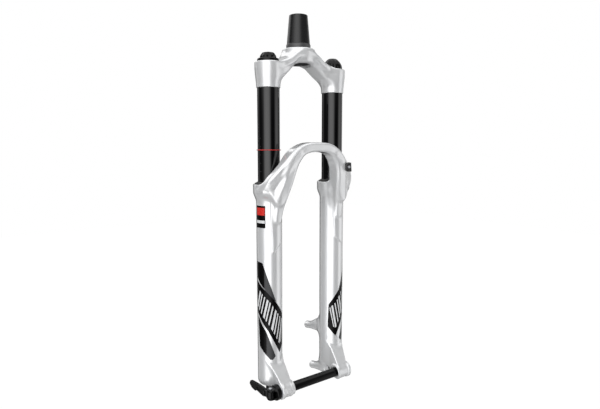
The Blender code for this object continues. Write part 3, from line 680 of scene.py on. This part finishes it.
TICK_HEIGHTS, TICK_FROM, TICK_TO, TICK_HALF = np.arange(-214, -136, 13.0), -174, -168, 0.4
PRINT_LIFT, TICK_LIFT, OVERPRINT_LIFT, FILM_SINK = 0.05, 0.06, 0.08, 0.12
FILM_CELL = 5                       # a film's grid, in degrees and in millimetres


def damper_tube(x, y, z):
    return np.hypot(x - LEFT, y - LEG_Y) - STANCHION_R


def flat_film(corners):
    """An outline cut into cells, as (points, faces, rim edges that run anticlockwise)."""
    bm = bmesh.new()
    bm.faces.new([bm.verts.new((phi, z, 0)) for phi, z in corners])
    for n, normal in enumerate(((1, 0, 0), (0, 1, 0))):
        along = [corner[n] for corner in corners]
        for stop in np.arange(min(along) + FILM_CELL, max(along), FILM_CELL):
            bmesh.ops.bisect_plane(bm, geom=bm.verts[:] + bm.edges[:] + bm.faces[:],
                                   plane_co=[stop * part for part in normal], plane_no=normal)
    bm.verts.index_update()
    points = np.array([v.co[:2] for v in bm.verts])
    faces = [[v.index for v in f.verts] for f in bm.faces]
    rim = []
    for edge in bm.edges:
        if len(edge.link_faces) == 1:
            a, b = (v.index for v in edge.verts)
            order = [v.index for v in edge.link_faces[0].verts]
            rim.append((a, b) if order[(order.index(a) + 1) % len(order)] == b else (b, a))
    bm.free()
    return points, faces, rim


def film(name, corners, side, lift, material, field=lower_legs, radius=LEG_R, body="lowers"):
    """A thin closed film on a leg. Corners run anticlockwise seen from outside, in (degrees, height)."""
    flat, faces, rim = flat_film(corners)
    angle = np.radians(flat[:, 0])
    layers = []
    for offset in (lift, -FILM_SINK):
        points = np.stack([radius * np.cos(angle) + LEFT, radius * np.sin(angle) + LEG_Y, flat[:, 1]], 1)
        for _ in range(FILM_STEPS):
            points -= step_to_surface(field, points, offset)
        layers.append(points)
    count = len(flat)
    points = np.concatenate(layers)
    solid = faces + [[count + i for i in reversed(f)] for f in faces] + [[b, a, count + a, count + b] for a, b in rim]
    if side > 0:
        points[:, 0] *= -1
        solid = [list(reversed(f)) for f in solid]
    piece = add_mesh(name, points, solid, material, body)
    piece.data.set_sharp_from_angle(angle=math.radians(SHARP_DEGREES))


def clipped(corners, low, high):
    """The part of a convex outline between two angles."""
    for limit, sign in ((low, 1), (high, -1)):
        kept = []
        for (a, u), (b, v) in zip(corners, corners[1:] + corners[:1]):
            if sign * (a - limit) >= 0:
                kept.append((a, u))
            if (a - limit) * (b - limit) < 0:
                kept.append((limit, u + (v - u) * (limit - a) / (b - a)))
        corners = kept
    return corners


def band_middle(phi):
    """Height of the band's middle and its half-height at an angle."""
    top = np.interp(phi, [-195, -119.7, -39], [-373, -395.8, -435.4])
    bottom = np.interp(phi, [-191, -129.8, -74.9, -34.7], [-426, -455.4, -492.8, -475.3])
    return (top + bottom) / 2, (top - bottom) / 2


def make_decals(finish):
    black, grey, red, light = (finish[f"print_{tone}"] for tone in ("black", "grey", "red", "light"))
    for side, leg in ((-1, "damper"), (1, "air")):
        wedge_grey, low_grey = clipped(WEDGE_TOP, GREY_FROM, 0), clipped(WEDGE_LOW, GREY_FROM + 8, 0)
        film(f"{leg}_print_top", WEDGE_TOP, side, PRINT_LIFT, black)
        film(f"{leg}_print_top_grey", wedge_grey, side, OVERPRINT_LIFT, grey)
        film(f"{leg}_print_band", BAND, side, PRINT_LIFT, black)
        film(f"{leg}_print_low", WEDGE_LOW, side, PRINT_LIFT, black)
        film(f"{leg}_print_low_grey", low_grey, side, OVERPRINT_LIFT, grey)
        for i, phi in enumerate(BAR_ANGLES):
            edges = (phi, phi + (BAR_WIDTH if i % 3 else WIDE_BAR))
            foot = [(a, band_middle(a)[0] - BAR_SHARE * band_middle(a)[1]) for a in edges]
            top = [(a, band_middle(a)[0] + BAR_SHARE * band_middle(a)[1]) for a in np.add(edges, BAR_LEAN)]
            film(f"{leg}_print_bar_{i}", [*foot, top[1], top[0]], side, OVERPRINT_LIFT, light)
    film("badge", BADGE, -1, PRINT_LIFT, black)
    film("badge_top", BADGE_RED, -1, OVERPRINT_LIFT, red)
    film("badge_bar", BADGE_BAR, -1, OVERPRINT_LIFT, light)
    for i, z in enumerate(TICK_HEIGHTS):
        low, high = z - TICK_HALF, z + TICK_HALF
        corners = [(TICK_FROM, low), (TICK_TO, low), (TICK_TO, high), (TICK_FROM, high)]
        film(f"sag_tick_{i}", corners, -1, TICK_LIFT, grey, damper_tube, STANCHION_R, "upper")


# ---------------------------------------------------------------- finishes

def set_stops(ramp, stops):
    """Sets a colour ramp's stops, each a (position, colour)."""
    elements = ramp.color_ramp.elements
    for element, (place, color) in ((elements[0], stops[0]), (elements[-1], stops[-1])):
        element.position, element.color = place, (*color, 1)
    for place, color in stops[1:-1]:
        elements.new(place).color = (*color, 1)


def math_node(tree, operation, *values):
    """A maths node's result, from numbers and sockets."""
    made = tree.nodes.new("ShaderNodeMath")
    made.operation = operation
    for socket, value in zip(made.inputs, values):
        if isinstance(value, (int, float)):
            socket.default_value = value
        else:
            tree.links.new(value, socket)
    return made.outputs[0]


class Finish:
    """A node material, built up from object coordinates so that it needs no unwrapping."""

    def __init__(self, name, color, metallic=0.0, roughness=0.5, coat=0.0, coat_roughness=0.05, specular=0.5):
        self.material = bpy.data.materials.new(name)
        self.material.use_nodes = True
        self.tree = self.material.node_tree
        self.shader = self.tree.nodes["Principled BSDF"]
        self.shader.inputs["Base Color"].default_value = (*color, 1)
        self.shader.inputs["Metallic"].default_value = metallic
        self.shader.inputs["Roughness"].default_value = roughness
        self.shader.inputs["Specular IOR Level"].default_value = specular
        self.shader.inputs["Coat Weight"].default_value = coat
        self.shader.inputs["Coat Roughness"].default_value = coat_roughness
        self.position = self.node("ShaderNodeTexCoord").outputs["Object"]
        self.bumps = None

    def node(self, kind, **inputs):
        made = self.tree.nodes.new(kind)
        for key, value in inputs.items():
            made.inputs[key].default_value = value
        return made

    def link(self, a, b):
        self.tree.links.new(a, b)

    def noise(self, scale, detail=3.0, stretch=(1, 1, 1)):
        """Noise with about that many features to the metre, drawn out along an axis by stretch."""
        mapping = self.node("ShaderNodeMapping")
        mapping.inputs["Scale"].default_value = stretch
        self.link(self.position, mapping.inputs["Vector"])
        noise = self.node("ShaderNodeTexNoise", Scale=scale, Detail=detail)
        self.link(mapping.outputs[0], noise.inputs["Vector"])
        return noise.outputs["Fac"]

    def ramp(self, value, stops):
        """Turns a value into a colour through (position, colour) stops."""
        ramp = self.node("ShaderNodeValToRGB")
        self.link(value, ramp.inputs[0])
        set_stops(ramp, stops)
        return ramp.outputs[0]

    def remap(self, value, low, high):
        mapped = self.node("ShaderNodeMapRange")
        mapped.inputs["To Min"].default_value, mapped.inputs["To Max"].default_value = low, high
        self.link(value, mapped.inputs["Value"])
        return mapped.outputs[0]

    def color(self, value, dark, light):
        """Base colour that wanders between two tones."""
        self.link(self.ramp(value, [(0.3, dark), (0.7, light)]), self.shader.inputs["Base Color"])
        return self

    def roughness(self, value, low, high):
        self.link(self.remap(value, low, high), self.shader.inputs["Roughness"])
        return self

    def bump(self, value, height_mm, strength=1.0):
        """Adds a relief of that height."""
        bump = self.node("ShaderNodeBump", Strength=strength, Distance=height_mm * MM)
        self.link(value, bump.inputs["Height"])
        if self.bumps is not None:
            self.link(self.bumps, bump.inputs["Normal"])
        self.bumps = bump.outputs[0]
        self.link(self.bumps, self.shader.inputs["Normal"])
        return self

    def height(self):
        """The point's height, in metres."""
        split = self.node("ShaderNodeSeparateXYZ")
        self.link(self.position, split.inputs[0])
        return split.outputs["Z"]

    def mix(self, share, a, b):
        """A colour between two others, each a colour or a socket."""
        made = self.node("ShaderNodeMix")
        made.data_type = "RGBA"
        self.link(share, made.inputs[0])
        colors = [s for s in made.inputs if s.type == "RGBA"]
        for socket, value in zip(colors, (a, b)):
            if isinstance(value, tuple):
                socket.default_value = (*value, 1)
            else:
                self.link(value, socket)
        return [s for s in made.outputs if s.type == "RGBA"][0]


def make_finishes():
    finish = {}

    paint = Finish("white_paint", (0.83, 0.84, 0.85), metallic=0.35, roughness=0.2, coat=1.0, coat_roughness=0.03)
    cloud = paint.noise(28, 4)
    paint.color(cloud, (0.80, 0.81, 0.825), (0.85, 0.857, 0.865)).roughness(paint.noise(160), 0.14, 0.26)
    paint.bump(paint.noise(620, 2), 0.012, 0.5)
    finish["white_paint"] = paint.material

    anodised = Finish("black_anodised", (0.0015, 0.0015, 0.0018), roughness=0.1, specular=0.68)
    anodised.roughness(anodised.noise(300, 4, (1, 1, 0.12)), 0.03, 0.08)
    anodised.bump(anodised.noise(900, 2, (1, 1, 0.3)), 0.002, 0.3)
    finish["black_anodised"] = anodised.material

    knob = Finish("knob_black", (0.002, 0.002, 0.0022), roughness=0.2, specular=0.25)
    knob.roughness(knob.noise(300, 4), 0.15, 0.26).bump(knob.noise(900, 2), 0.004, 0.4)
    finish["knob_black"] = knob.material

    steerer = Finish("black_steerer", (0.02, 0.02, 0.021), roughness=0.26, specular=0.5)
    lines = steerer.noise(240, 2, (0.02, 0.02, 22))
    tube = steerer.ramp(lines, [(0.3, (0.004, 0.004, 0.0045)), (0.7, (0.009, 0.009, 0.0095))])
    bare = math_node(steerer.tree, "LESS_THAN", steerer.height(), (SEAT_Z + 7.2 + DATUM_Z) * MM)
    steerer.link(steerer.mix(bare, tube, (0.07, 0.07, 0.072)), steerer.shader.inputs["Base Color"])
    steerer.roughness(lines, 0.2, 0.32).bump(lines, 0.012, 0.4)
    finish["black_steerer"] = steerer.material

    plastic = Finish("black_plastic", (0.018, 0.018, 0.019), roughness=0.4)
    plastic.color(plastic.noise(60), (0.015, 0.015, 0.016), (0.024, 0.024, 0.025))
    plastic.bump(plastic.noise(1600, 2), 0.02, 0.5)
    finish["black_plastic"] = plastic.material

    for name, dark, light, metallic, rough in (
            ("bare_alloy", (0.66, 0.67, 0.69), (0.76, 0.77, 0.79), 1.0, (0.26, 0.4)),
            ("steel", (0.42, 0.43, 0.45), (0.56, 0.57, 0.59), 1.0, (0.24, 0.4)),
            ("bush_ptfe", (0.22, 0.23, 0.20), (0.32, 0.33, 0.30), 0.5, (0.35, 0.5))):
        metal = Finish(name, light, metallic, rough[1])
        marks = metal.noise(260, 3, (0.05, 0.05, 9))
        metal.color(marks, dark, light).roughness(marks, *rough).bump(marks, 0.01, 0.4)
        finish[name] = metal.material

    for name, dark, light, rough in (("black_rubber", (0.016, 0.016, 0.016), (0.028, 0.028, 0.027), (0.48, 0.62)),
                                     ("red_rubber", (0.42, 0.018, 0.016), (0.55, 0.03, 0.025), (0.36, 0.5)),
                                     ("token_plastic", (0.55, 0.05, 0.03), (0.70, 0.08, 0.05), (0.3, 0.42)),
                                     ("foam", (0.10, 0.095, 0.085), (0.20, 0.19, 0.17), (0.85, 0.95))):
        soft = Finish(name, light, 0.0, rough[1])
        grain = soft.noise(900 if name == "foam" else 420, 3)
        soft.color(grain, dark, light).roughness(grain, *rough).bump(grain, 0.15 if name == "foam" else 0.02, 0.6)
        finish[name] = soft.material

    for name, dark, light, rough in (("print_black", (0.002, 0.002, 0.002), (0.004, 0.004, 0.004), (0.2, 0.28)),
                                     ("print_grey", (0.035, 0.036, 0.038), (0.05, 0.051, 0.054), (0.2, 0.28)),
                                     ("print_light", (0.72, 0.73, 0.74), (0.80, 0.81, 0.82), (0.24, 0.32)),
                                     ("print_red", (0.60, 0.025, 0.02), (0.68, 0.04, 0.03), (0.24, 0.32))):
        ink = Finish(name, light, 0.0, rough[1], specular=0.12 if name == "print_black" else 0.3)
        grain = ink.noise(500, 3)
        ink.color(grain, dark, light).roughness(grain, *rough)
        finish[name] = ink.material
    return finish


def finish_cad_nodes(finish):
    """Gives each CAD node the finish of its slot in the record."""
    for part in frame["record"]["subparts"]:
        piece = frame["nodes"][part["node"]]
        piece.data.materials.clear()
        piece.data.materials.append(finish[part["material_slot"]])
        piece.data.polygons.foreach_set("material_index", [0] * len(piece.data.polygons))


# ---------------------------------------------------------------- light and camera

# The studio's brightness by azimuth in degrees anticlockwise from +X, as seen from the fork, low down and higher up
STUDIO = [(-180, 0.35), (-172, 0.7), (-165, 1.75), (-143, 2.15), (-120, 1.95), (-110, 1.3), (-101, 0.3), (-92, 0.03),
          (-62, 0.03), (-53, 0.6), (-42, 1.15), (-20, 0.9), (-8, 0.4), (-2, 0.5), (22, 0.8), (34, 0.03), (70, 0.03),
          (102, 0.1), (114, 0.6), (122, 0.1), (150, 0.03), (170, 0.1), (180, 0.35)]
STUDIO_HIGH = [(-180, 0.95), (-165, 1.75), (-143, 2.15), (-122, 1.85), (-104, 0.9), (-92, 0.25), (-10, 0.06), (22, 0.8),
               (34, 0.06), (70, 0.06), (82, 1.4), (118, 1.4), (130, 0.1), (150, 0.1), (180, 0.95)]
OVERHEAD, BELOW = 1.35, 0.35
GLOW = 2.2                          # a ramp's full white
FLOOR_HALF, FLOOR_Z = 3.0, -0.72    # in metres, as are the camera's place and the light's directions
CAMERA_PLACE, CAMERA_TURN, LENS = (-0.4991, -0.6719, -0.1683 + DATUM_Z * MM), (83.84, 0, -36.79), 29.95


def make_world():
    """Soft boxes and dark flags round the fork, drawn on the sky. The camera sees plain white."""
    world = bpy.data.worlds.new("studio")
    bpy.context.scene.world = world
    world.use_nodes = True
    tree = world.node_tree
    nodes, links = tree.nodes, tree.links
    nodes.clear()
    direction = nodes.new("ShaderNodeSeparateXYZ")
    links.new(nodes.new("ShaderNodeTexCoord").outputs["Generated"], direction.inputs[0])
    x, y, z = direction.outputs
    turn = math_node(tree, "MULTIPLY_ADD", math_node(tree, "ARCTAN2", y, x), 1 / (2 * math.pi), 0.5)

    def ring_of_light(stops):
        ramp = nodes.new("ShaderNodeValToRGB")
        links.new(turn, ramp.inputs[0])
        set_stops(ramp, [(azimuth / 360 + 0.5, (level / GLOW,) * 3) for azimuth, level in stops])
        return math_node(tree, "MULTIPLY", ramp.outputs[0], GLOW)

    def rise(start, end):
        """Goes from 0 to 1 between two values of the direction's Z."""
        ease = nodes.new("ShaderNodeMapRange")
        ease.interpolation_type = "SMOOTHSTEP"
        ease.inputs["From Min"].default_value, ease.inputs["From Max"].default_value = start, end
        links.new(z, ease.inputs["Value"])
        return ease.outputs[0]

    def mix(share, a, b):
        rest = math_node(tree, "SUBTRACT", 1.0, share)
        return math_node(tree, "ADD", math_node(tree, "MULTIPLY", a, rest), math_node(tree, "MULTIPLY", b, share))

    level = mix(rise(0.1, 0.42), ring_of_light(STUDIO), ring_of_light(STUDIO_HIGH))
    level = mix(rise(0.6, 0.85), level, OVERHEAD)
    level = mix(rise(-0.35, -0.75), level, BELOW)
    level = mix(nodes.new("ShaderNodeLightPath").outputs["Is Camera Ray"], level, 1.0)
    background = nodes.new("ShaderNodeBackground")
    background.inputs["Color"].default_value = (1, 1, 1, 1)
    links.new(level, background.inputs["Strength"])
    links.new(background.outputs[0], nodes.new("ShaderNodeOutputWorld").inputs[0])


def make_floor():
    """A white floor well below the fork, which hangs in the air as in a product shot."""
    mesh = bpy.data.meshes.new("floor")
    corners = [(x * FLOOR_HALF, y * FLOOR_HALF, FLOOR_Z) for x, y in ((-1, -1), (1, -1), (1, 1), (-1, 1))]
    mesh.from_pydata(corners, [], [(0, 1, 2, 3)])
    floor = bpy.data.objects.new("floor", mesh)
    bpy.context.scene.collection.objects.link(floor)
    white = Finish("floor_white", (0.02, 0.02, 0.02), roughness=1.0, specular=0.0)
    white.shader.inputs["Emission Color"].default_value = (1, 1, 1, 1)
    white.shader.inputs["Emission Strength"].default_value = 1.0
    mesh.materials.append(white.material)
    floor.visible_diffuse = floor.visible_glossy = floor.visible_shadow = False


def make_camera():
    data = bpy.data.cameras.new("camera")
    data.lens, data.sensor_width, data.clip_start = LENS, 36, 0.01
    camera = bpy.data.objects.new("camera", data)
    camera.location = CAMERA_PLACE
    camera.rotation_euler = [math.radians(a) for a in CAMERA_TURN]
    bpy.context.scene.collection.objects.link(camera)
    bpy.context.scene.camera = camera


def main():
    finish = make_finishes()
    finish_cad_nodes(finish)
    make_lower_legs(finish["white_paint"])
    make_crown(finish["white_paint"])
    make_upper_pieces(finish)
    make_seals(finish)
    make_axle(finish)
    make_hose_guide(finish)
    make_decals(finish)
    make_world()
    make_floor()
    make_camera()
    bpy.context.scene.view_settings.view_transform = "Standard"
    bpy.context.view_layer.update()
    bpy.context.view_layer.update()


main()
